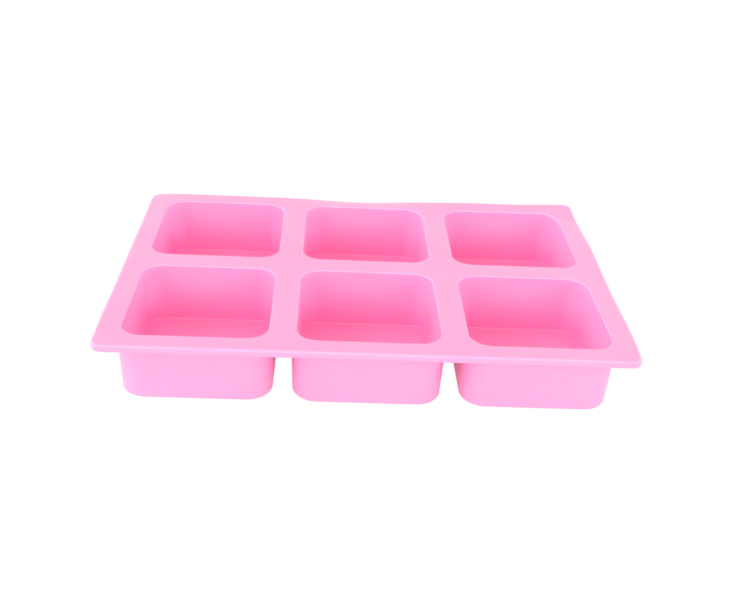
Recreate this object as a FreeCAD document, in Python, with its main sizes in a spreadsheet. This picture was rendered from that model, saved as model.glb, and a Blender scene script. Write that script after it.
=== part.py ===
import FreeCAD, Part
import os
import re
import Sketcher

# Soap mould with six square cavities: one flexible silicone moulding, three columns by two rows of
# cups hanging from a flat deck.
#
# Frame: +Z up, millimetres. The origin is the middle of the plane that the cups stand on.
# +X runs along the length (three columns), +Y from the front row to the back row.
#
# The moulding is a single piece of silicone. It is divided where it flexes, and neighbouring
# regions meet face to face:
#   deck_COLUMN       flat sheet round the two mouths of a column, with its stretch of the rim
#   web_SIDE          strip of the deck between two columns, which bends like a living hinge
#   cup_ROW_COLUMN    the four walls of one cup and the ring round its base
#   floor_ROW_COLUMN  the middle of one cup's floor, which is pushed up to free the soap

OUT_DIR = "parts"
SHEET = "dimensions"
NEAR = 0.01
COLUMNS = {"left": -1, "centre": 0, "right": 1}
ROWS = {"front": -1, "back": 1}

# The driving dimensions: alias, value in millimetres or degrees, what it is.
DIMENSIONS = [
    ("cavity_side", 68.4, "side of a square mouth, from deck edge to deck edge"),
    ("web_width", 10.8, "deck between two neighbouring mouths"),
    ("flange_width", 9.4, "deck between the outer mouths and the rim"),
    ("total_height", 33.4, "from the base of the cups to the top of the deck"),
    ("deck_thick", 3.6, "thickness of the deck and its rim"),
    ("wall_thick", 2.7, "thickness of a cup's wall"),
    ("floor_thick", 2.6, "thickness of a cup's floor"),
    ("lip_radius", 1.0, "rounding where the deck turns down into a mouth"),
    ("mouth_radius", 11.0, "corner radius of a mouth, seen from above"),
    ("draft_angle", 1.8, "degrees that a wall leans in towards the base"),
    ("base_round", 1.2, "rounding round the outside of a cup's base"),
    ("inside_round", 0.6, "rounding between a cup's inside walls and its floor"),
    ("deck_corner", 5.0, "corner radius of the deck, seen from above"),
    ("rim_upper_round", 1.4, "rounding along the upper edge of the rim"),
    ("rim_lower_round", 0.5, "rounding along the lower edge of the rim"),
    ("strip_width", 5.4, "width of the strip of web that bends"),
    ("panel_side", 46.0, "side of the middle of a floor, which moves up"),
    ("panel_radius", 8.0, "corner radius of that panel"),
    ("panel_gap", 0.2, "gap between the panel and the ring round it"),
    ("panel_recess", 0.3, "height of the panel's underside above the ring's"),
]

# Sizes that follow from the driving dimensions, as expressions over the sheet's aliases.
PITCH = "(cavity_side + web_width)"
DECK_DEPTH = "(2 * cavity_side + web_width + 2 * flange_width)"
INNER_DECK_WIDTH = "(cavity_side + web_width - strip_width)"
OUTER_DECK_WIDTH = "(cavity_side + web_width / 2 - strip_width / 2 + flange_width)"
OUTER_DECK_SHIFT = "(flange_width - web_width / 2 + strip_width / 2) / 2"
INNER_SIDE = "(cavity_side - 2 * lip_radius)"
INNER_RADIUS = "(mouth_radius - lip_radius)"
OUTER_SIDE = f"({INNER_SIDE} + 2 * wall_thick)"
OUTER_RADIUS = f"({INNER_RADIUS} + wall_thick)"
UNDERSIDE = "(total_height - deck_thick)"


def fill_sheet(doc):
    """Writes each driving dimension into the sheet, and gives its cell an alias."""
    sheet = doc.addObject("Spreadsheet::Sheet", SHEET)
    for row, (alias, value, meaning) in enumerate(DIMENSIONS, start=1):
        sheet.set(f"A{row}", meaning)
        sheet.set(f"B{row}", str(value))
        sheet.setAlias(f"B{row}", alias)
    doc.recompute()


def on_sheet(expression):
    """The expression with each alias (words joined by underscores) written as a cell of the sheet."""
    return re.sub(r"\b[a-z]+(_[a-z]+)+\b", lambda alias: f"{SHEET}.{alias.group()}", expression)


def size_of(doc, expression):
    """The value of an expression over the sheet's aliases, as a plain number."""
    return float(doc.getObject(SHEET).evalExpression(on_sheet(expression)))


def new_body(doc, label, x="0", y="0"):
    """An empty body whose own origin stands at x, y on the base plane."""
    body = doc.addObject("PartDesign::Body", label)
    body.Label = label
    body.setExpression("Placement.Base.x", on_sheet(x))
    body.setExpression("Placement.Base.y", on_sheet(y))
    return body


def origin_plane(body, role):
    """One of the body's own origin planes."""
    return next(feature for feature in body.Origin.OriginFeatures if feature.Role == role)


def new_sketch(body, name, x="0", y="0", z="0"):
    """An empty sketch on the body's XY plane, with its centre moved to x, y, z."""
    sketch = body.newObject("Sketcher::SketchObject", name)
    sketch.AttachmentSupport = [(origin_plane(body, "XY_Plane"), "")]
    sketch.MapMode = "FlatFace"
    for letter, distance in zip("xyz", (x, y, z)):
        sketch.setExpression(f"AttachmentOffset.Base.{letter}", on_sheet(distance))
    return sketch


def constrain(sketch, name, size, *constraint):
    """Adds a constraint and binds its value to the sheet."""
    number = sketch.addConstraint(Sketcher.Constraint(*constraint))
    sketch.renameConstraint(number, name)
    sketch.setExpression(f"Constraints.{name}", on_sheet(size))


def draw_rectangle(sketch, width, depth):
    """A rectangle centred on the sketch's origin."""
    start_x, start_y = 20.0, 30.0
    corners = [(-start_x, -start_y), (start_x, -start_y), (start_x, start_y), (-start_x, start_y)]
    points = [FreeCAD.Vector(x, y, 0) for x, y in corners]
    for i in range(4):
        sketch.addGeometry(Part.LineSegment(points[i], points[(i + 1) % 4]), False)
    for i in range(4):
        sketch.addConstraint(Sketcher.Constraint("Coincident", i, 2, (i + 1) % 4, 1))
        sketch.addConstraint(Sketcher.Constraint("Vertical" if i % 2 else "Horizontal", i))
    sketch.addConstraint(Sketcher.Constraint("Symmetric", 0, 1, 1, 2, -1, 1))
    constrain(sketch, "width", width, "DistanceX", 0, 1, 0, 2, 2 * start_x)
    constrain(sketch, "depth", depth, "DistanceY", 1, 1, 1, 2, 2 * start_y)


def draw_rounded_square(sketch, side, radius):
    """A square with rounded corners, centred on the sketch's origin."""
    start_half, start_radius = 20.0, 5.0
    reach = start_half - start_radius
    for quarter in range(4):
        turn = FreeCAD.Rotation(FreeCAD.Vector(0, 0, 1), 90 * quarter)
        line_start = turn.multVec(FreeCAD.Vector(-reach, -start_half, 0))
        line_end = turn.multVec(FreeCAD.Vector(reach, -start_half, 0))
        arc_middle = turn.multVec(
            FreeCAD.Vector(reach + start_radius * 0.5**0.5, -reach - start_radius * 0.5**0.5, 0)
        )
        arc_end = turn.multVec(FreeCAD.Vector(start_half, -reach, 0))
        sketch.addGeometry(Part.LineSegment(line_start, line_end), False)
        sketch.addGeometry(Part.Arc(line_end, arc_middle, arc_end), False)
    lines, arcs = [0, 2, 4, 6], [1, 3, 5, 7]
    for i in range(4):
        sketch.addConstraint(Sketcher.Constraint("Tangent", lines[i], 2, arcs[i], 1))
        sketch.addConstraint(Sketcher.Constraint("Tangent", arcs[i], 2, lines[(i + 1) % 4], 1))
        sketch.addConstraint(Sketcher.Constraint("Vertical" if i % 2 else "Horizontal", lines[i]))
    for arc in arcs[1:]:
        sketch.addConstraint(Sketcher.Constraint("Equal", arcs[0], arc))
    sketch.addConstraint(Sketcher.Constraint("Symmetric", arcs[0], 3, arcs[2], 3, -1, 1))
    constrain(sketch, "width", side, "DistanceX", lines[3], 1, lines[1], 1, 2 * start_half)
    constrain(sketch, "depth", side, "DistanceY", lines[0], 1, lines[2], 1, 2 * start_half)
    constrain(sketch, "corner", radius, "Radius", arcs[0], start_radius)


def pad(body, name, sketch, length, downwards=False, taper="0"):
    """Pads a sketch up, or down. A negative taper draws the sides in as the pad goes."""
    feature = body.newObject("PartDesign::Pad", name)
    feature.Profile = sketch
    feature.Reversed = downwards
    feature.setExpression("Length", on_sheet(length))
    feature.setExpression("TaperAngle", on_sheet(taper))
    return feature


def pocket(body, name, sketch, length, taper="0"):
    """Cuts a sketch downwards. A negative taper draws the sides in as the cut goes."""
    feature = body.newObject("PartDesign::Pocket", name)
    feature.Profile = sketch
    feature.setExpression("Length", on_sheet(length))
    feature.setExpression("TaperAngle", on_sheet(taper))
    return feature


def mirror_front_to_back(body, name, feature):
    """Repeats a feature of the front row in the back row."""
    mirrored = body.newObject("PartDesign::Mirrored", name)
    mirrored.Originals = [feature]
    mirrored.MirrorPlane = (origin_plane(body, "XZ_Plane"), [""])
    body.Tip = mirrored
    return mirrored


def fillet(body, name, wanted, radius):
    """Rounds those edges of the body's last feature for which wanted(edge) holds."""
    body.Document.recompute()
    base = body.Tip
    names = [f"Edge{i}" for i, edge in enumerate(base.Shape.Edges, start=1) if wanted(edge)]
    feature = body.newObject("PartDesign::Fillet", name)
    feature.Base = (base, names)
    feature.setExpression("Radius", on_sheet(radius))
    return feature


def flat_at(edge, height):
    """True if the whole edge lies at one height."""
    box = edge.BoundBox
    return abs(box.ZMin - height) < NEAR and abs(box.ZMax - height) < NEAR


def round_rim(body, on_rim):
    """Rounds the upper and the lower edge of those edges of the deck that on_rim picks."""
    top = size_of(body.Document, "total_height")
    underside = size_of(body.Document, UNDERSIDE)
    fillet(body, "RimUpper", lambda edge: flat_at(edge, top) and on_rim(edge), "rim_upper_round")
    fillet(body, "RimLower", lambda edge: flat_at(edge, underside) and on_rim(edge), "rim_lower_round")


def make_deck(doc, column, side):
    """The flat sheet round the two mouths of one column, with its stretch of the rim."""
    body = new_body(doc, f"deck_{column}", x=f"{side} * {PITCH}")
    width = OUTER_DECK_WIDTH if side else INNER_DECK_WIDTH
    outline = new_sketch(body, "Outline", x=f"{side} * {OUTER_DECK_SHIFT}", z=UNDERSIDE)
    draw_rectangle(outline, width, DECK_DEPTH)
    pad(body, "Sheet", outline, "deck_thick")
    mouth = new_sketch(body, "Mouth", y=f"-{PITCH} / 2", z="total_height")
    draw_rounded_square(mouth, INNER_SIDE, INNER_RADIUS)
    front_mouth = pocket(body, "FrontMouth", mouth, "deck_thick")
    mirror_front_to_back(body, "BackMouth", front_mouth)

    inner_half = size_of(doc, INNER_SIDE) / 2
    strip_edge = size_of(doc, f"({PITCH} - strip_width) / 2")
    top = size_of(doc, "total_height")
    outer_face = size_of(doc, "cavity_side / 2 + flange_width")

    def in_mouth(edge):
        """True for the edges of the two mouths."""
        box = edge.BoundBox
        return max(-box.XMin, box.XMax) < inner_half + NEAR and box.YMin * box.YMax > 0

    def on_contact_face(edge):
        """True for the edges that lie along a bending strip."""
        box = edge.BoundBox
        contact_xs = (-side * strip_edge,) if side else (-strip_edge, strip_edge)
        return any(abs(box.XMin - x) < NEAR and abs(box.XMax - x) < NEAR for x in contact_xs)

    if side:
        fillet(
            body,
            "PlanCorners",
            lambda edge: edge.BoundBox.ZLength > 1 and abs(edge.BoundBox.XMin - side * outer_face) < NEAR,
            "deck_corner",
        )
    fillet(body, "Lips", lambda edge: flat_at(edge, top) and in_mouth(edge), "lip_radius")
    round_rim(body, lambda edge: not in_mouth(edge) and not on_contact_face(edge))
    return body


def make_web(doc, name, side):
    """The strip of the deck between two columns, which bends."""
    body = new_body(doc, f"web_{name}", x=f"{side} * {PITCH} / 2")
    outline = new_sketch(body, "Outline", z=UNDERSIDE)
    draw_rectangle(outline, "strip_width", DECK_DEPTH)
    pad(body, "Strip", outline, "deck_thick")
    round_rim(body, lambda edge: edge.BoundBox.YLength < 1)
    return body


def make_cup(doc, row, column, x, y):
    """The four walls of one cup, under the deck, and the ring round its base."""
    body = new_body(doc, f"cup_{row}_{column}", x, y)
    outside = new_sketch(body, "Outside", z=UNDERSIDE)
    draw_rounded_square(outside, OUTER_SIDE, OUTER_RADIUS)
    pad(body, "Block", outside, UNDERSIDE, downwards=True, taper="-draft_angle")
    fillet(body, "BaseEdge", lambda edge: flat_at(edge, 0), "base_round")
    inside = new_sketch(body, "Inside", z=UNDERSIDE)
    draw_rounded_square(inside, INNER_SIDE, INNER_RADIUS)
    pocket(body, "Cavity", inside, f"{UNDERSIDE} - floor_thick", taper="-draft_angle")
    floor_top = size_of(doc, "floor_thick")
    fillet(body, "InsideEdge", lambda edge: flat_at(edge, floor_top), "inside_round")
    hole = new_sketch(body, "PanelHole", z="floor_thick")
    draw_rounded_square(hole, "panel_side + 2 * panel_gap", "panel_radius + panel_gap")
    pocket(body, "BaseRing", hole, "floor_thick")
    return body


def make_floor(doc, row, column, x, y):
    """The middle of one cup's floor."""
    body = new_body(doc, f"floor_{row}_{column}", x, y)
    outline = new_sketch(body, "Outline", z="panel_recess")
    draw_rounded_square(outline, "panel_side", "panel_radius")
    pad(body, "Panel", outline, "floor_thick - panel_recess")
    return body


def make_bodies(doc):
    """Builds every region of the moulding."""
    bodies = [make_deck(doc, column, side) for column, side in COLUMNS.items()]
    bodies += [make_web(doc, column, side) for column, side in COLUMNS.items() if side]
    for column, side in COLUMNS.items():
        for row, end in ROWS.items():
            x, y = f"{side} * {PITCH}", f"{end} * {PITCH} / 2"
            bodies.append(make_cup(doc, row, column, x, y))
            bodies.append(make_floor(doc, row, column, x, y))
    return bodies


def check(doc, bodies):
    """Stops unless every object is up to date, every pocket cuts something and every body is one solid."""
    for item in doc.Objects:
        if {"Invalid", "Error"} & set(item.State):
            raise RuntimeError(f"{item.Label} is in state {item.State}")
        if item.TypeId == "PartDesign::Pocket" and item.Shape.Volume > item.BaseFeature.Shape.Volume - 1:
            raise RuntimeError(f"{item.Label} cuts nothing")
    for body in bodies:
        if body.Shape.isNull() or not body.Shape.isValid() or len(body.Shape.Solids) != 1:
            raise RuntimeError(f"{body.Label} is not one valid solid")


def main():
    doc = FreeCAD.newDocument("soap_mould")
    fill_sheet(doc)
    bodies = make_bodies(doc)
    doc.recompute()
    check(doc, bodies)
    os.makedirs(OUT_DIR, exist_ok=True)
    for body in bodies:
        body.Shape.exportStep(f"{OUT_DIR}/{body.Label}.step")
        box = body.Shape.BoundBox
        print(
            f"{body.Label:20s} {body.Shape.Volume / 1000:8.3f} cm3"
            f"  x {box.XMin:8.2f} {box.XMax:8.2f}  y {box.YMin:8.2f} {box.YMax:8.2f}"
            f"  z {box.ZMin:6.2f} {box.ZMax:6.2f}"
        )


main()
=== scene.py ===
import math

import bpy
import numpy as np
from mathutils import Matrix, Vector
from mathutils.geometry import tessellate_polygon


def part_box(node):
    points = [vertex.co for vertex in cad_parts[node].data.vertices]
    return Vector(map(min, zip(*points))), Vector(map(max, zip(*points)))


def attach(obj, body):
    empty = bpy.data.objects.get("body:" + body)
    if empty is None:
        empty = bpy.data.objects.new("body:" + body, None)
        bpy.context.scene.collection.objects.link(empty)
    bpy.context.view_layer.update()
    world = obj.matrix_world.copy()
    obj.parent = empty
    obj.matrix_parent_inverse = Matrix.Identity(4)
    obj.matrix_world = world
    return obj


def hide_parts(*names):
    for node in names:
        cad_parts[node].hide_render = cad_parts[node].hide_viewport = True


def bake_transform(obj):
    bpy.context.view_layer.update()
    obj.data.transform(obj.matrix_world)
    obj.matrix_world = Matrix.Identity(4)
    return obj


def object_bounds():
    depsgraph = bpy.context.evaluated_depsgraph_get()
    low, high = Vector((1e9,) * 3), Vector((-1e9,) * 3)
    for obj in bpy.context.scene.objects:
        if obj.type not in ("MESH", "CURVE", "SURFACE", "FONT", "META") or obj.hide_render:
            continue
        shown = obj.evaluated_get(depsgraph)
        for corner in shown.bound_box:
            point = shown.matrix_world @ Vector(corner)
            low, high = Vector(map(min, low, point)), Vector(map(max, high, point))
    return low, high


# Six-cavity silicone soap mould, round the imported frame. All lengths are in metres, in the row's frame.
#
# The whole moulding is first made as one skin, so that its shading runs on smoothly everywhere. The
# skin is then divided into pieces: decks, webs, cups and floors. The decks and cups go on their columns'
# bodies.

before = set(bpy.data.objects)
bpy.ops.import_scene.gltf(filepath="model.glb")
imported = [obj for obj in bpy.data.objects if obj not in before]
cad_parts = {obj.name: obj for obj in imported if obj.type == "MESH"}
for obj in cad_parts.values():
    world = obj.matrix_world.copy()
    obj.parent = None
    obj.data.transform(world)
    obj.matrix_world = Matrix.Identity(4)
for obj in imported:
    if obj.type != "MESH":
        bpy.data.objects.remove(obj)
cad_low, cad_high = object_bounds()

MM = 0.001
COLUMNS = ("left", "centre", "right")
ROWS = ("front", "back")
# Points nearer than this in one coordinate count as level, and points in one cell of this grid as one.
LEVEL = 1e-7
WELD_GRID = 2e-3 * MM

# Sizes read from the frame.
TOP = cad_high.z
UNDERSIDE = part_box("deck_centre")[0].z
CUP_OUTSIDE = (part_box("cup_front_left")[1].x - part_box("cup_front_left")[0].x) / 2
FLOOR_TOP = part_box("floor_front_left")[1].z
HALF_LENGTH = cad_high.x
HALF_DEPTH = cad_high.y
COLUMN_X = {c: sum(corner.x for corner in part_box(f"floor_front_{c}")) / 2 for c in COLUMNS}
ROW_Y = {r: sum(corner.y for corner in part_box(f"floor_{r}_left")) / 2 for r in ROWS}
STRIP_X = {s: (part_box(f"web_{s}")[0].x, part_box(f"web_{s}")[1].x) for s in ("left", "right")}

# Sizes of the moulding's section.
WALL = 2.7 * MM
LIP = 1.0 * MM
MOUTH_CORNER = 11.0 * MM
DRAFT = math.radians(1.8)
RIM_UPPER = 1.4 * MM
RIM_LOWER = 0.5 * MM
DECK_CORNER = 5.0 * MM
UNDER_FILLET = 0.5 * MM
BASE_ROUND = 1.2 * MM
INSIDE_ROUND = 0.6 * MM
CROWN = 0.4 * MM

# How finely each stretch of the section is divided.
SIDE_STEPS = 14
CORNER_STEPS = 12
CORNER_LEAD = 3
ROUND_STEPS = 6
DECK_STEPS = 4
WALL_STEPS = 10
RIM_FACE_STEPS = 2
RING_STEPS = 2
FLOOR_STEPS = 12
STRIP_STEPS = 16
LOOP = 4 * (SIDE_STEPS + CORNER_STEPS)

MOUTH_HALF = CUP_OUTSIDE - WALL + LIP
STRAIGHT = MOUTH_HALF - MOUTH_CORNER


# ---------------------------------------------------------------- the skin

class Skin:
    """Points and faces of the whole moulding, each face with the name of the piece that it belongs to."""

    def __init__(self):
        self.blocks = []
        self.count = 0
        self.faces = []
        self.owners = []

    def add_points(self, points):
        """Adds points and returns their numbers."""
        points = np.asarray(points, float).reshape(-1, 3)
        self.blocks.append(points)
        first = self.count
        self.count += len(points)
        return np.arange(first, self.count)

    def add_face(self, owner, corners):
        self.faces.append([int(i) for i in corners])
        self.owners.append(owner)

    def join_loops(self, owner, outer, inner):
        """Quads between two closed loops of equal length."""
        for i in range(len(outer)):
            k = (i + 1) % len(outer)
            self.add_face(owner, (outer[i], outer[k], inner[k], inner[i]))

    def join_rows(self, owner, first, second):
        """Quads between two open rows of equal length."""
        for i in range(len(first) - 1):
            self.add_face(owner, (first[i], first[i + 1], second[i + 1], second[i]))

    def points(self):
        return np.concatenate(self.blocks)


def rounded_square(half, corner):
    """A loop round a square with rounded corners, counter-clockwise from its front side."""
    reach = half - corner
    side = [(x, -half) for x in np.linspace(-reach, reach, SIDE_STEPS, endpoint=False)]
    for angle in np.linspace(-math.pi / 2, 0, CORNER_STEPS, endpoint=False):
        side.append((reach + corner * math.cos(angle), -reach + corner * math.sin(angle)))
    return turned_round(side)


def turned_round(side):
    """One side of a loop and its corner, repeated by quarter turns."""
    side = np.array(side)
    loop = []
    for quarter in range(4):
        c, s = round(math.cos(quarter * math.pi / 2)), round(math.sin(quarter * math.pi / 2))
        loop.append(side @ np.array([[c, s], [-s, c]]))
    return np.concatenate(loop)


def straight_marks():
    """Distances along one side of a mouth at which the loops have points."""
    return np.linspace(-STRAIGHT, STRAIGHT, SIDE_STEPS, endpoint=False)


class Cell:
    """The rectangle of deck round one mouth. A side that lies on the rim is inset and has a normal."""

    def __init__(self, column, row):
        self.column, self.row = column, row
        self.centre = np.array([COLUMN_X[column], ROW_Y[row]])
        self.low = np.array([
            -HALF_LENGTH if column == "left" else STRIP_X["left" if column == "centre" else "right"][1],
            -HALF_DEPTH if row == "front" else 0.0,
        ])
        self.high = np.array([
            HALF_LENGTH if column == "right" else STRIP_X["right" if column == "centre" else "left"][0],
            HALF_DEPTH if row == "back" else 0.0,
        ])

    def border(self, inset):
        """The loop round the cell, its points' outward normals (zero off the rim), counter-clockwise."""
        points, normals = [], []
        for quarter in range(4):
            side_points, side_normals = self.side(quarter, inset)
            points += side_points
            normals += side_normals
        return np.array(points), np.array(normals)

    def side(self, quarter, inset):
        """One side of the border and the corner after it. The work is done with the side in front."""
        c, s = round(math.cos(quarter * math.pi / 2)), round(math.sin(quarter * math.pi / 2))
        to_world = np.array([[c, -s], [s, c]])
        corners = [self.low, self.high]
        ends = np.array([to_world.T @ (corner - self.centre) for corner in corners])
        front, right = ends[:, 1].min(), ends[:, 0].max()
        on_rim = [self.is_rim(to_world @ np.array(way, float)) for way in ((0, -1), (1, 0))]
        front += inset * on_rim[0]
        right -= inset * on_rim[1]
        local = [(x, front) for x in straight_marks()]
        local_normals = [(0, -1 * on_rim[0])] * SIDE_STEPS
        if all(on_rim):
            arc = DECK_CORNER - inset
            hub = np.array([right - arc, front + arc])
            for x in np.linspace(STRAIGHT, hub[0], CORNER_LEAD, endpoint=False):
                local.append((x, front))
                local_normals.append((0, -1))
            for angle in np.linspace(-math.pi / 2, 0, CORNER_STEPS - 2 * CORNER_LEAD + 1):
                way = np.array([math.cos(angle), math.sin(angle)])
                local.append(tuple(hub + arc * way))
                local_normals.append(tuple(way))
            for y in np.linspace(hub[1], -STRAIGHT, CORNER_LEAD, endpoint=False)[1:]:
                local.append((right, y))
                local_normals.append((1, 0))
        else:
            half = CORNER_STEPS // 2
            for x in np.linspace(STRAIGHT, right, half, endpoint=False):
                local.append((x, front))
                local_normals.append((0, -1 * on_rim[0]))
            local.append((right, front))
            local_normals.append((1 * on_rim[1], -1 * on_rim[0]))
            for y in np.linspace(front, -STRAIGHT, half, endpoint=False)[1:]:
                local.append((right, y))
                local_normals.append((1 * on_rim[1], 0))
        world = [to_world @ np.array(p) + self.centre for p in local]
        return world, [to_world @ np.array(n, float) for n in local_normals]

    def is_rim(self, way):
        """True if the side that faces this way is on the rim of the whole deck."""
        if abs(way[0]) > 0.5:
            return (self.column == "right" and way[0] > 0) or (self.column == "left" and way[0] < 0)
        return (self.row == "back" and way[1] > 0) or (self.row == "front" and way[1] < 0)


def rim_profile():
    """The rim's section from the deck's top to its underside: (inset from the outline, height)."""
    angles = np.linspace(0, math.pi / 2, ROUND_STEPS + 1)
    upper = [(RIM_UPPER * (1 - math.sin(a)), TOP - RIM_UPPER * (1 - math.cos(a))) for a in angles]
    low_start = UNDERSIDE + RIM_LOWER
    face = [(0.0, z) for z in np.linspace(upper[-1][1], low_start, RIM_FACE_STEPS + 1)[1:-1]]
    lower = [(RIM_LOWER * (1 - math.cos(a)), low_start - RIM_LOWER * math.sin(a)) for a in angles]
    return upper + face + lower


def add_rim(skin, owner, outline, normals):
    """The rim along an open row of outline points."""
    rows = []
    for inset, z in rim_profile():
        xy = outline - normals * inset
        rows.append(skin.add_points(np.c_[xy, np.full(len(xy), z)]))
    for above, below in zip(rows, rows[1:]):
        skin.join_rows(owner, below, above)


def rim_runs(normals):
    """Runs of border points that follow each other along the rim."""
    on_rim = np.abs(normals).sum(1) > 0
    n = len(on_rim)
    if not on_rim.any():
        return []
    starts = [i for i in range(n) if on_rim[i] and not on_rim[i - 1]]
    runs = []
    for start in starts:
        run = [start]
        while on_rim[(run[-1] + 1) % n]:
            run.append((run[-1] + 1) % n)
        runs.append(run)
    return runs


def wall_inset(z):
    """How far a wall has leaned in at height z."""
    return max(0.0, UNDERSIDE - z) * math.tan(DRAFT)


def outer_profile():
    """The outside of a cup from the deck's underside to its base: (half side, corner radius, height)."""
    corner = MOUTH_CORNER - LIP + WALL
    angles = np.linspace(0, math.pi / 2, ROUND_STEPS + 1)
    fillet = [
        (CUP_OUTSIDE + UNDER_FILLET * (1 - math.sin(a)), UNDERSIDE - UNDER_FILLET * (1 - math.cos(a)))
        for a in angles
    ]
    heights = np.linspace(fillet[-1][1], BASE_ROUND, WALL_STEPS + 1)[1:]
    wall = [(CUP_OUTSIDE - wall_inset(z), z) for z in heights]
    foot = wall[-1][0]
    base = [
        (foot - BASE_ROUND * (1 - math.cos(a)), BASE_ROUND * (1 - math.sin(a))) for a in angles[1:]
    ]
    return [(half, corner + half - CUP_OUTSIDE, z) for half, z in fillet], [
        (half, corner + half - CUP_OUTSIDE, z) for half, z in wall + base
    ]


def inner_profile():
    """The inside from the mouth's edge down: the lip and land, then the wall and its rounding."""
    angles = np.linspace(0, math.pi / 2, ROUND_STEPS + 1)
    lip = [(MOUTH_HALF - LIP * math.sin(a), TOP - LIP * (1 - math.cos(a))) for a in angles]
    lip.append((MOUTH_HALF - LIP, UNDERSIDE))
    turn = FLOOR_TOP + INSIDE_ROUND
    land = MOUTH_HALF - LIP
    wall = [(land - wall_inset(z), z) for z in np.linspace(UNDERSIDE, turn, WALL_STEPS + 1)[1:]]
    foot = wall[-1][0] - INSIDE_ROUND
    rounding = [
        (foot + INSIDE_ROUND * math.cos(a), turn - INSIDE_ROUND * math.sin(a)) for a in angles[1:]
    ]
    shift = MOUTH_CORNER - MOUTH_HALF
    return [(half, half + shift, z) for half, z in lip], [
        (half, half + shift, z) for half, z in wall + rounding
    ]


def add_loop(skin, centre, half, corner, z):
    """One rounded-square loop at height z. Returns its point numbers."""
    xy = rounded_square(half, corner) + centre
    return skin.add_points(np.c_[xy, np.full(LOOP, z)])


def add_floor(skin, owner, centre, border, half, corner, z, facing_up):
    """A floor skin inside its border loop, crowned by a hair towards its middle."""
    previous = border
    for u in np.linspace(0, 1, FLOOR_STEPS + 1)[1:-1]:
        height = z + CROWN * math.sin(u * math.pi / 2)
        loop = add_loop(skin, centre, half * (1 - u), corner * (1 - u), height)
        join(skin, owner, previous, loop, facing_up)
        previous = loop
    middle = skin.add_points([(centre[0], centre[1], z + CROWN)])[0]
    for i in range(LOOP):
        a, b = previous[i], previous[(i + 1) % LOOP]
        skin.add_face(owner, (a, b, middle) if facing_up else (b, a, middle))


def join(skin, owner, outer, inner, facing_up):
    """Quads from an outer loop to the next one in. facing_up says which way their fronts face."""
    if facing_up:
        skin.join_loops(owner, outer, inner)
    else:
        skin.join_loops(owner, inner, outer)


def add_deck_side(skin, owner, border, edge, z, facing_up):
    """The flat band between a cell's border and a loop round its hole. Returns the hole's loop."""
    loops = []
    for share in np.linspace(0, 1, DECK_STEPS + 1):
        xy = border * (1 - share) + edge * share
        loops.append(skin.add_points(np.c_[xy, np.full(LOOP, z)]))
    for outer, inner in zip(loops, loops[1:]):
        join(skin, owner, outer, inner, facing_up)
    return loops[-1]


def add_cell(skin, column, row, caps):
    """One mouth's share of the moulding: deck, rim, lip, cup and floor."""
    cell = Cell(column, row)
    deck, cup, floor = f"deck_{column}", f"cup_{row}_{column}", f"floor_{row}_{column}"
    outline, normals = cell.border(0.0)
    outer_fillet, outer_wall = outer_profile()
    lip, inner_wall = inner_profile()

    mouth = rounded_square(MOUTH_HALF, MOUTH_CORNER) + cell.centre
    loop = add_deck_side(skin, deck, cell.border(RIM_UPPER)[0], mouth, TOP, True)
    for half, corner, z in lip[1:]:
        lower = add_loop(skin, cell.centre, half, corner, z)
        join(skin, deck, loop, lower, True)
        loop = lower
    inside_cut = loop
    for half, corner, z in inner_wall:
        lower = add_loop(skin, cell.centre, half, corner, z)
        join(skin, cup, loop, lower, True)
        loop = lower
    floor_half, floor_corner, _ = inner_wall[-1]
    add_floor(skin, f"{floor}_top", cell.centre, loop, floor_half, floor_corner, FLOOR_TOP, True)
    top_hole = loop

    hole = rounded_square(*outer_fillet[0][:2]) + cell.centre
    loop = add_deck_side(skin, deck, cell.border(RIM_LOWER)[0], hole, UNDERSIDE, False)
    for half, corner, z in outer_fillet[1:]:
        lower = add_loop(skin, cell.centre, half, corner, z)
        join(skin, deck, loop, lower, False)
        loop = lower
    outside_cut = loop
    for half, corner, z in outer_wall:
        lower = add_loop(skin, cell.centre, half, corner, z)
        join(skin, cup, loop, lower, False)
        loop = lower
    foot_half, foot_corner, _ = outer_wall[-1]
    for share in np.linspace(0, 1, RING_STEPS + 1)[1:]:
        half = foot_half * (1 - share) + floor_half * share
        corner = foot_corner * (1 - share) + floor_corner * share
        inner = add_loop(skin, cell.centre, half, corner, 0.0)
        join(skin, cup, loop, inner, False)
        loop = inner
    add_floor(skin, f"{floor}_under", cell.centre, loop, floor_half, floor_corner, 0.0, False)

    for run in rim_runs(normals):
        add_rim(skin, deck, outline[run], normals[run])
    for i in range(LOOP):
        k = (i + 1) % LOOP
        caps.append((deck, (inside_cut[k], inside_cut[i], outside_cut[i], outside_cut[k])))
        caps.append((cup, (inside_cut[i], inside_cut[k], outside_cut[k], outside_cut[i])))
        caps.append((cup, (top_hole[k], top_hole[i], loop[i], loop[k])))
    return cell


def strip_marks(cells, inset):
    """The heights along Y at which the decks beside a strip have points, front to back."""
    marks = []
    for cell in cells:
        border, _ = cell.border(inset)
        edge = cell.high[0]
        marks += [y for x, y in border if abs(x - edge) < LEVEL]
    return np.unique(np.round(marks, 8))


def add_strip(skin, side, beside):
    """The strip of deck between two columns."""
    owner = f"web_{side}"
    xs = np.linspace(*STRIP_X[side], STRIP_STEPS + 1)
    top_rows = [skin.add_points([(x, y, TOP) for y in strip_marks(beside, RIM_UPPER)]) for x in xs]
    under_rows = [skin.add_points([(x, y, UNDERSIDE) for y in strip_marks(beside, RIM_LOWER)]) for x in xs]
    for a, b in zip(top_rows, top_rows[1:]):
        skin.join_rows(owner, b, a)
    for a, b in zip(under_rows, under_rows[1:]):
        skin.join_rows(owner, a, b)
    for end in (-1, 1):
        outline = np.array([(x, end * HALF_DEPTH) for x in xs[::-end]])
        add_rim(skin, owner, outline, np.tile([0.0, end], (len(xs), 1)))


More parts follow.
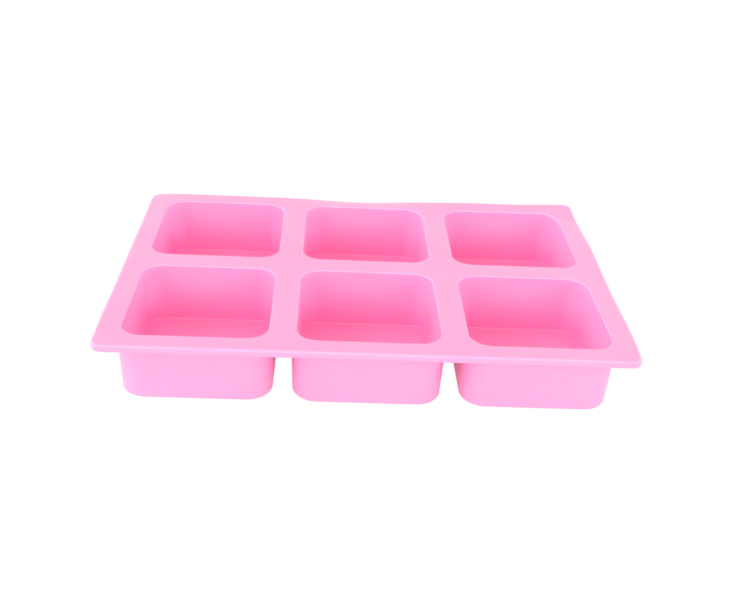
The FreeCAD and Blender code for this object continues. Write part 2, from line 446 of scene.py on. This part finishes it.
# ---------------------------------------------------------------- the waviness of the soft sheet

# In millimetres. A ramp is its height, where it starts and where it ends; a bump is its height, middle
# and width.
BACK_RISE = 0.25
BACK_RISE_RIGHT = (1.25, 10, 75)
BACK_RISE_CORNER = (1.1, 85, HALF_LENGTH / MM)
BACK_RISE_BAND = (1.0, 64, HALF_DEPTH / MM)
BACK_DIP_MIDDLE = (1.3, -4, 24)
BACK_DIP_LEFT = (0.8, -124, 9)
BACK_DIP_BAND = (1.0, 74, HALF_DEPTH / MM)
SIDE_BAND = (1.0, 111, HALF_LENGTH / MM)
RIGHT_LIFT = (1.0, 28, 26)
RIGHT_BULGE_FRONT = (0.75, -84, -62)
RIGHT_BULGE_CUP = (0.2, -52, 12)
RIGHT_BULGE_MIDDLE = (0.4, 28, 26)
RIGHT_DRAW_BACK = (0.8, 60, 80)
LEFT_BULGE = 0.45
LEFT_BULGE_CUP = (0.3, -55, 15)


def bump(at, height, middle, width):
    """A smooth bump."""
    return height * np.exp(-(((at - middle) / width) ** 2))


def ramp(at, height, low, high):
    """0 below low, the full height above high, smooth between."""
    t = np.clip((at - low) / (high - low), 0, 1)
    return height * t * t * (3 - 2 * t)


def settle(points):
    """The skin as the soft moulding really lies: its flange curls and sags a little."""
    x, y, z = points.T / MM
    on_deck = ramp(z, 1.0, 0.6 * UNDERSIDE / MM, UNDERSIDE / MM)
    back_rise = BACK_RISE + ramp(x, *BACK_RISE_RIGHT) + ramp(x, *BACK_RISE_CORNER)
    back_dip = bump(x, *BACK_DIP_MIDDLE) + bump(x, *BACK_DIP_LEFT)
    back_lift = back_rise * ramp(y, *BACK_RISE_BAND) - back_dip * ramp(y, *BACK_DIP_BAND)
    right, left = ramp(x, *SIDE_BAND), ramp(-x, *SIDE_BAND)
    right_bulge = ramp(y, *RIGHT_BULGE_FRONT) + bump(y, *RIGHT_BULGE_CUP) + bump(y, *RIGHT_BULGE_MIDDLE)
    right_bulge -= ramp(y, *RIGHT_DRAW_BACK)
    left_bulge = LEFT_BULGE + bump(y, *LEFT_BULGE_CUP)
    moved = points.copy()
    moved[:, 2] += on_deck * (back_lift + right * bump(y, *RIGHT_LIFT)) * MM
    moved[:, 0] += on_deck * (right * right_bulge - left * left_bulge) * MM
    return moved


# ---------------------------------------------------------------- from the skin to pieces

def weld(points, faces, caps):
    """Gives points that lie together one number."""
    keys = np.round(points / WELD_GRID).astype(np.int64)
    _, first, number = np.unique(keys, axis=0, return_index=True, return_inverse=True)
    number = number.reshape(-1)
    kept = points[first]

    def renumber(face):
        corners = [int(number[i]) for i in face]
        return [c for i, c in enumerate(corners) if c != corners[i - 1]]

    return kept, [renumber(f) for f in faces], [(owner, renumber(f)) for owner, f in caps]


def smooth_normals(points, faces):
    """A normal at each point, from the faces round it, weighted by their areas."""
    normals = np.zeros_like(points)
    for face in faces:
        corners = points[face]
        area = np.zeros(3)
        for i in range(1, len(face) - 1):
            area += np.cross(corners[i] - corners[0], corners[i + 1] - corners[0])
        normals[face] += area
    return normals / np.linalg.norm(normals, axis=1)[:, None]


def part_edges(mesh, skin_faces):
    """Marks the edges between the skin and the caps as sharp, so that neither shades the other."""
    skin_edges, cap_edges = set(), set()
    for polygon in mesh.polygons:
        (skin_edges if polygon.index < skin_faces else cap_edges).update(polygon.edge_keys)
    shared = skin_edges & cap_edges
    for edge in mesh.edges:
        edge.use_edge_sharp = edge.key in shared


def make_piece(name, points, normals, faces, caps):
    """A mesh object of some of the skin's faces, shaded by the whole skin's normals."""
    used = sorted({i for face in faces + caps for i in face})
    new = {old: i for i, old in enumerate(used)}
    mesh = bpy.data.meshes.new(name)
    mesh.from_pydata([tuple(points[i]) for i in used], [], [[new[i] for i in f] for f in faces + caps])
    mesh.update()
    mesh.shade_smooth()
    part_edges(mesh, len(faces))
    shading = []
    for polygon in mesh.polygons:
        if polygon.index < len(faces):
            shading += [tuple(normals[used[mesh.loops[i].vertex_index]]) for i in polygon.loop_indices]
        else:
            shading += [tuple(polygon.normal)] * polygon.loop_total
    mesh.normals_split_custom_set(shading)
    piece = bpy.data.objects.new(name, mesh)
    bpy.context.scene.collection.objects.link(piece)
    return piece


def section_caps(points, x):
    """Faces that close the deck's section at x, from the skin's points there, joined top to underside."""
    at = [i for i in range(len(points)) if abs(points[i][0] - x) < LEVEL]
    on_top = sorted((i for i in at if abs(points[i][2] - TOP) < LEVEL), key=lambda i: points[i][1])
    on_under = sorted((i for i in at if abs(points[i][2] - UNDERSIDE) < LEVEL), key=lambda i: points[i][1])
    found = [
        [on_top[i], on_under[i], on_under[i + 1], on_top[i + 1]] for i in range(len(on_top) - 1)
    ]
    for end in (0, -1):
        rim = [
            i
            for i in at
            if UNDERSIDE + LEVEL < points[i][2] < TOP - LEVEL
            and (points[i][1] < points[on_top[0]][1]) == (end == 0)
            and abs(points[i][1]) > abs(points[on_top[end]][1]) - LEVEL
        ]
        rim.sort(key=lambda i: -points[i][2])
        corners = [on_top[end]] + rim + [on_under[end]]
        found.append(corners[::-1] if end == 0 else corners)
    return found


def build_moulding():
    """Makes every piece of the moulding."""
    skin, caps = Skin(), []
    cells = {(c, r): add_cell(skin, c, r, caps) for c in COLUMNS for r in ROWS}
    for side, beside in (("left", "left"), ("right", "centre")):
        add_strip(skin, side, [cells[beside, r] for r in ROWS])
    flat, faces, caps = weld(skin.points(), skin.faces, caps)
    for side in ("left", "right"):
        outer, inner = (0, 1) if side == "left" else (1, 0)
        for which, column in ((outer, side), (inner, "centre")):
            for face in section_caps(flat, STRIP_X[side][which]):
                facing_right = face if which == 0 else face[::-1]
                caps.append((f"deck_{column}", facing_right))
                caps.append((f"web_{side}", facing_right[::-1]))
    points = settle(flat)
    normals = smooth_normals(points, faces)
    owners = skin.owners
    pieces = {}
    for name in sorted(set(owners)):
        own_faces = [f for f, owner in zip(faces, owners) if owner == name and len(f) > 2]
        own_caps = [f for owner, f in caps if owner == name and len(f) > 2]
        pieces[name] = make_piece(f"silicone_{name}", points, normals, own_faces, own_caps)
    return pieces


def place_pieces(pieces):
    """Puts each deck and cup on its column's body, bakes each floor's and web's placing into its points,
    and hides the CAD parts that the pieces replace.
    """
    for column in COLUMNS:
        deck = pieces[f"deck_{column}"]
        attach(deck, f"{column}_column")
        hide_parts(f"deck_{column}")
        for row in ROWS:
            cup = pieces[f"cup_{row}_{column}"]
            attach(cup, f"{column}_column")
            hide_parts(f"cup_{row}_{column}")
            for skin, z in (("top", FLOOR_TOP), ("under", 0.0)):
                floor = pieces[f"floor_{row}_{column}_{skin}"]
                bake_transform(floor)
                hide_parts(f"floor_{row}_{column}")
    for side in ("left", "right"):
        web = pieces[f"web_{side}"]
        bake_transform(web)
        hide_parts(f"web_{side}")


# ---------------------------------------------------------------- material

SILICONE_PALE = (0.97, 0.42, 0.705, 1.0)
SILICONE_DEEP = (0.95, 0.395, 0.685, 1.0)
SILICONE_IOR = 1.41
SKIN_IOR = 1.5
SKIN_GLOSS_ROUGHNESS = 0.28
BODY_ROUGHNESS = (0.34, 0.44)
# Noises over the object's own coordinates in metres, and the middle part of their range that is used.
MOTTLE = {"scale": 28.0, "detail": 2.0}
CLOUD = {"scale": 140.0, "detail": 4.0}
GRAIN = {"scale": 1600.0, "detail": 2.0}
RIPPLE = {"scale": 45.0, "detail": 1.0}
NOISE_RANGE = (0.3, 0.7)
GRAIN_DEPTH = 0.02 * MM
RIPPLE_DEPTH = 0.12 * MM


def noise(tree, place, scale, detail):
    """A noise texture. Returns its value socket."""
    node = tree.nodes.new("ShaderNodeTexNoise")
    node.inputs["Scale"].default_value = scale
    node.inputs["Detail"].default_value = detail
    tree.links.new(place, node.inputs["Vector"])
    return node.outputs["Fac"]


def spread(tree, value, low, high, start, end, smooth=False):
    """Maps low to start and high to end."""
    node = tree.nodes.new("ShaderNodeMapRange")
    node.interpolation_type = "SMOOTHSTEP" if smooth else "LINEAR"
    tree.links.new(value, node.inputs["Value"])
    for name, number in (("From Min", low), ("From Max", high), ("To Min", start), ("To Max", end)):
        node.inputs[name].default_value = number
    return node.outputs["Result"]


def bumped(tree, height, depth, normal=None):
    """A bump of the given depth in metres, on top of an earlier one."""
    node = tree.nodes.new("ShaderNodeBump")
    node.inputs["Distance"].default_value = depth
    tree.links.new(height, node.inputs["Height"])
    if normal:
        tree.links.new(normal, node.inputs["Normal"])
    return node.outputs["Normal"]


def silicone_material():
    """Pink silicone: a satin skin with faint clouding, slow ripples and a very fine grain."""
    material = bpy.data.materials.new("silicone_pink")
    material.use_nodes = True
    tree = material.node_tree
    shader = tree.nodes["Principled BSDF"]
    shader.inputs["IOR"].default_value = SILICONE_IOR
    shader.inputs["Coat Weight"].default_value = 1.0
    shader.inputs["Coat Roughness"].default_value = SKIN_GLOSS_ROUGHNESS
    shader.inputs["Coat IOR"].default_value = SKIN_IOR
    place = tree.nodes.new("ShaderNodeTexCoord").outputs["Object"]
    mottle, cloud, grain, ripple = (noise(tree, place, **kind) for kind in (MOTTLE, CLOUD, GRAIN, RIPPLE))

    colour = tree.nodes.new("ShaderNodeValToRGB")
    ends = zip(colour.color_ramp.elements, NOISE_RANGE, (SILICONE_DEEP, SILICONE_PALE))
    for element, position, shade in ends:
        element.position = position
        element.color = shade
    tree.links.new(mottle, colour.inputs["Fac"])
    tree.links.new(colour.outputs["Color"], shader.inputs["Base Color"])
    tree.links.new(spread(tree, cloud, *NOISE_RANGE, *BODY_ROUGHNESS), shader.inputs["Roughness"])
    surface = bumped(tree, ripple, RIPPLE_DEPTH)
    tree.links.new(bumped(tree, grain, GRAIN_DEPTH, surface), shader.inputs["Normal"])
    tree.links.new(surface, shader.inputs["Coat Normal"])
    return material


# ---------------------------------------------------------------- studio

FLOOR_COLOUR = (0.65, 0.65, 0.65, 1.0)
FLOOR_ROUGHNESS = 0.9
FLOOR_GLOW = 0.2
FLOOR_DROP = -0.1 * MM
FLOOR_HALF = 4.0
OPENING_MARGIN = 0.5 * MM
GROUND_RISE = (-0.002, 0.0)
GROUND_GLOW = 1.0
TENT_COLOUR = (1.3, 1.0, 1.0, 1.0)
HORIZON_FALL = (0.06, 0.18)
HORIZON_GLOW = 0.8
ROOF_RISE = (0.65, 0.85)
ROOF_GLOW = 0.62
# Two bands of light round the tent: the sines of the elevations between which each one comes and
# goes, and how strongly it glows on the left, right, front and back.
BANDS = (
    {"rise": (0.10, 0.22), "fall": (0.35, 0.50), "glow": (4.0, 4.3, 2.8, 0.9)},
    {"rise": (0.35, 0.50), "fall": (0.65, 0.85), "glow": (2.2, 0.8, 0.4, 0.3)},
)

GLOSS_LIGHT_PLACE = (0.0, -0.55, 0.80)
GLOSS_LIGHT_SIZE = (1.4, 0.9)
GLOSS_LIGHT_WATTS = 7.5
GLOSS_LIGHT_COLOUR = (1.0, 0.97, 0.82)


def floor_loops():
    """The table's edge, and an opening under each cup's base, which the base covers."""
    loops = [FLOOR_HALF * np.array([(-1, -1), (1, -1), (1, 1), (-1, 1)])]
    half, corner, _ = outer_profile()[1][-1]
    opening = rounded_square(half - OPENING_MARGIN, corner - OPENING_MARGIN)
    return loops + [opening + (COLUMN_X[c], ROW_Y[r]) for c in COLUMNS for r in ROWS]


def make_floor():
    """A white table that glows faintly, wide enough for every view.

    The camera looks past it to the tent's equally white ground, so that it hides neither the mould's
    underside nor a column that hangs below the table. The light of that ground reaches the cups' bases
    through the openings under them.
    """
    mesh = bpy.data.meshes.new("studio_floor")
    loops = [[Vector((x, y, FLOOR_DROP)) for x, y in loop] for loop in floor_loops()]
    mesh.from_pydata([point for loop in loops for point in loop], [], tessellate_polygon(loops))
    floor = bpy.data.objects.new("studio_floor", mesh)
    bpy.context.scene.collection.objects.link(floor)
    material = bpy.data.materials.new("studio_floor")
    material.use_nodes = True
    shader = material.node_tree.nodes["Principled BSDF"]
    shader.inputs["Base Color"].default_value = FLOOR_COLOUR
    shader.inputs["Roughness"].default_value = FLOOR_ROUGHNESS
    shader.inputs["Specular IOR Level"].default_value = 0.0
    shader.inputs["Emission Color"].default_value = (1, 1, 1, 1)
    shader.inputs["Emission Strength"].default_value = FLOOR_GLOW
    mesh.materials.append(material)
    floor.visible_camera = False


def reckon(tree, operation, first, second):
    """A math node on two sockets or numbers."""
    node = tree.nodes.new("ShaderNodeMath")
    node.operation = operation
    for socket, value in zip(node.inputs, (first, second)):
        if isinstance(value, (int, float)):
            socket.default_value = value
        else:
            tree.links.new(value, socket)
    return node.outputs["Value"]


def side_shares(tree, x, y):
    """How much of a direction belongs to the tent's left, right, front and back, blending between them."""
    squares = [reckon(tree, "MULTIPLY", axis, axis) for axis in (x, y)]
    level = reckon(tree, "MAXIMUM", reckon(tree, "ADD", *squares), 1e-6)
    shares = []
    for axis, sign in ((x, -1.0), (x, 1.0), (y, -1.0), (y, 1.0)):
        facing = reckon(tree, "MAXIMUM", reckon(tree, "MULTIPLY", axis, sign), 0.0)
        shares.append(reckon(tree, "DIVIDE", reckon(tree, "MULTIPLY", facing, facing), level))
    return shares


def make_tent():
    """A light tent: white walls that glow in bands round the table, a fainter roof, a white ground."""
    world = bpy.data.worlds.new("light_tent")
    world.use_nodes = True
    bpy.context.scene.world = world
    tree = world.node_tree
    background = tree.nodes["Background"]
    background.inputs["Color"].default_value = TENT_COLOUR
    way = tree.nodes.new("ShaderNodeTexCoord").outputs["Generated"]
    split = tree.nodes.new("ShaderNodeSeparateXYZ")
    tree.links.new(way, split.inputs["Vector"])
    x, y, z = split.outputs
    shares = side_shares(tree, x, y)
    roof = spread(tree, z, *ROOF_RISE, 0.0, ROOF_GLOW, smooth=True)
    horizon = spread(tree, z, *HORIZON_FALL, HORIZON_GLOW, 0.0, smooth=True)
    above = spread(tree, z, *GROUND_RISE, 0.0, 1.0)
    ground = spread(tree, z, *GROUND_RISE, GROUND_GLOW, 0.0)
    glow = reckon(tree, "ADD", roof, reckon(tree, "MULTIPLY", horizon, above))
    glow = reckon(tree, "ADD", glow, ground)
    for band in BANDS:
        rise = spread(tree, z, *band["rise"], 0.0, 1.0, smooth=True)
        fall = spread(tree, z, *band["fall"], 1.0, 0.0, smooth=True)
        height = reckon(tree, "MULTIPLY", rise, fall)
        for share, strength in zip(shares, band["glow"]):
            part = reckon(tree, "MULTIPLY", reckon(tree, "MULTIPLY", height, share), strength)
            glow = reckon(tree, "ADD", glow, part)
    tree.links.new(glow, background.inputs["Strength"])


def make_gloss_light():
    """A broad soft light high in front, which only draws the gleam along the rounded edges."""
    light = bpy.data.lights.new("gloss_light", "AREA")
    light.shape = "RECTANGLE"
    light.size, light.size_y = GLOSS_LIGHT_SIZE
    light.energy = GLOSS_LIGHT_WATTS
    light.color = GLOSS_LIGHT_COLOUR
    panel = bpy.data.objects.new("gloss_light", light)
    panel.location = GLOSS_LIGHT_PLACE
    panel.rotation_euler = (-panel.location).to_track_quat("-Z", "Y").to_euler()
    panel.visible_diffuse = False
    panel.visible_camera = False
    bpy.context.scene.collection.objects.link(panel)


CAMERA_PLACE = (-0.02044, -0.43694, 0.26253)
CAMERA_PITCH = math.radians(29.678)
CAMERA_YAW = math.radians(-2.865)
CAMERA_ROLL = math.radians(3.360)
CAMERA_LENS_MM = 46.827
CAMERA_SENSOR_MM = 36.0


def make_camera():
    """The camera, a little left of the middle and looking down at the tray, turned slightly."""
    data = bpy.data.cameras.new("camera")
    data.sensor_width = CAMERA_SENSOR_MM
    data.lens = CAMERA_LENS_MM
    camera = bpy.data.objects.new("camera", data)
    turn = Matrix.Rotation(CAMERA_YAW, 3, "Z") @ Matrix.Rotation(math.pi / 2 - CAMERA_PITCH, 3, "X")
    turn = turn @ Matrix.Rotation(CAMERA_ROLL, 3, "Z")
    camera.matrix_world = Matrix.Translation(CAMERA_PLACE) @ turn.to_4x4()
    bpy.context.scene.collection.objects.link(camera)
    bpy.context.scene.camera = camera


# ---------------------------------------------------------------- the scene

DIFFUSE_BOUNCES = 12
ALL_BOUNCES = 16

make_camera()
make_tent()
make_gloss_light()
make_floor()
moulding = build_moulding()
place_pieces(moulding)
silicone = silicone_material()
for moulded in moulding.values():
    moulded.data.materials.append(silicone)
bpy.context.scene.view_settings.view_transform = "Standard"
bpy.context.scene.cycles.diffuse_bounces = DIFFUSE_BOUNCES
bpy.context.scene.cycles.max_bounces = ALL_BOUNCES
bpy.context.scene.cycles.caustics_reflective = False
